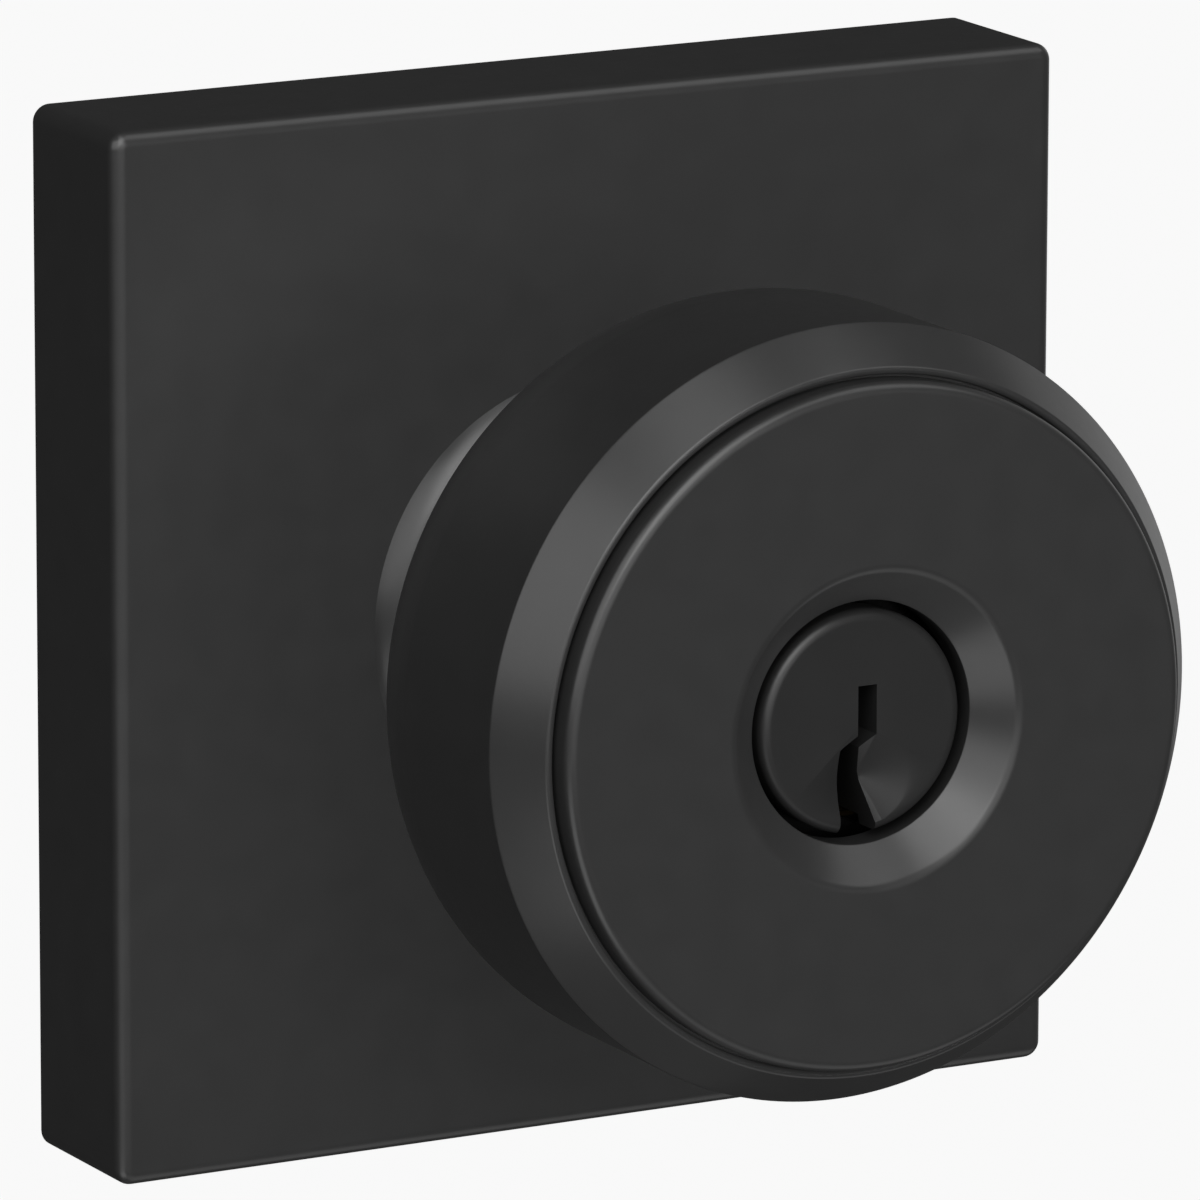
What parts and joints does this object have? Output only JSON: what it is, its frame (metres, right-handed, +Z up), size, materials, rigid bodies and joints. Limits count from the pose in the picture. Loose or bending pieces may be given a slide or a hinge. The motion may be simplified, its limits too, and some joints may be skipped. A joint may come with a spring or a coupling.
{
  "type": "keyed door knob",
  "caption": "Outside half of a keyed entry door lock: a drum-shaped knob with a key cylinder in its dished face, on a square rose, with fixing stems and spindle.",
  "frame": {"origin": "on the knob's axis, in the plane of the rose's back rim, which is the door's outside face", "axes": "+Y runs into the door along the knob's axis, +Z is up, +X is to the right as seen from outside; the keyhole faces -Y"},
  "size_m": [0.067, 0.0856, 0.067],
  "materials": {
    "black_trim": "matte black, fine satin sheen",
    "black_plug": "satin black plated plug",
    "zinc_steel": "zinc-plated steel",
    "spring_steel": "oiled spring steel",
    "bearing_bronze": "sintered bronze, dull",
    "bearing_plastic": "natural acetal",
    "die_cast_zinc": "as-cast zinc, dull",
    "cylinder_brass": "machined brass"
  },
  "bodies": {
    "rose_assembly": {"rose_cover": "black_trim", "mounting_plate": "zinc_steel", "spring_cage": "zinc_steel", "cage_rivets": "zinc_steel", "stem_left": "zinc_steel", "stem_right": "zinc_steel", "stop_pins": "zinc_steel", "return_spring": "spring_steel", "spindle_bushing": "bearing_bronze"},
    "knob": {"spindle_tube": "zinc_steel", "drive_spindle": "zinc_steel", "spring_rotor": "zinc_steel", "retaining_ring": "spring_steel", "thrust_washer": "bearing_plastic", "knob_sleeve": "zinc_steel", "knob_body": "black_trim", "knob_face": "black_trim", "cylinder_cradle": "die_cast_zinc", "cylinder_body": "cylinder_brass", "chamber_cover": "cylinder_brass", "driver_pins": "cylinder_brass", "pin_springs": "spring_steel", "catch_spring": "spring_steel"},
    "catch": {"knob_catch": "zinc_steel"},
    "plug": {"plug": "black_plug", "key_pins": "cylinder_brass", "plug_cap": "cylinder_brass", "tailpiece": "zinc_steel"}
  },
  "joints": [
    {"name": "knob_turn", "type": "hinge", "parent": "rose_assembly", "child": "knob", "pos_m": [0, 0, 0], "axis": [0, 1, 0], "range_deg": [-60, 60], "stiffness_Nm_per_rad": 0.28, "deforming": ["return_spring"]},
    {"name": "key_turn", "type": "hinge", "parent": "knob", "child": "plug", "pos_m": [0, -0.03, 0], "axis": [0, 1, 0], "range_deg": [-90, 90]},
    {"name": "catch_press", "type": "slide", "parent": "knob", "child": "catch", "axis": [0, 0, 1], "range_m": [0, 0.0023], "stiffness_N_per_m": 300, "springref_m": -0.001, "deforming": ["catch_spring"]}
  ]
}
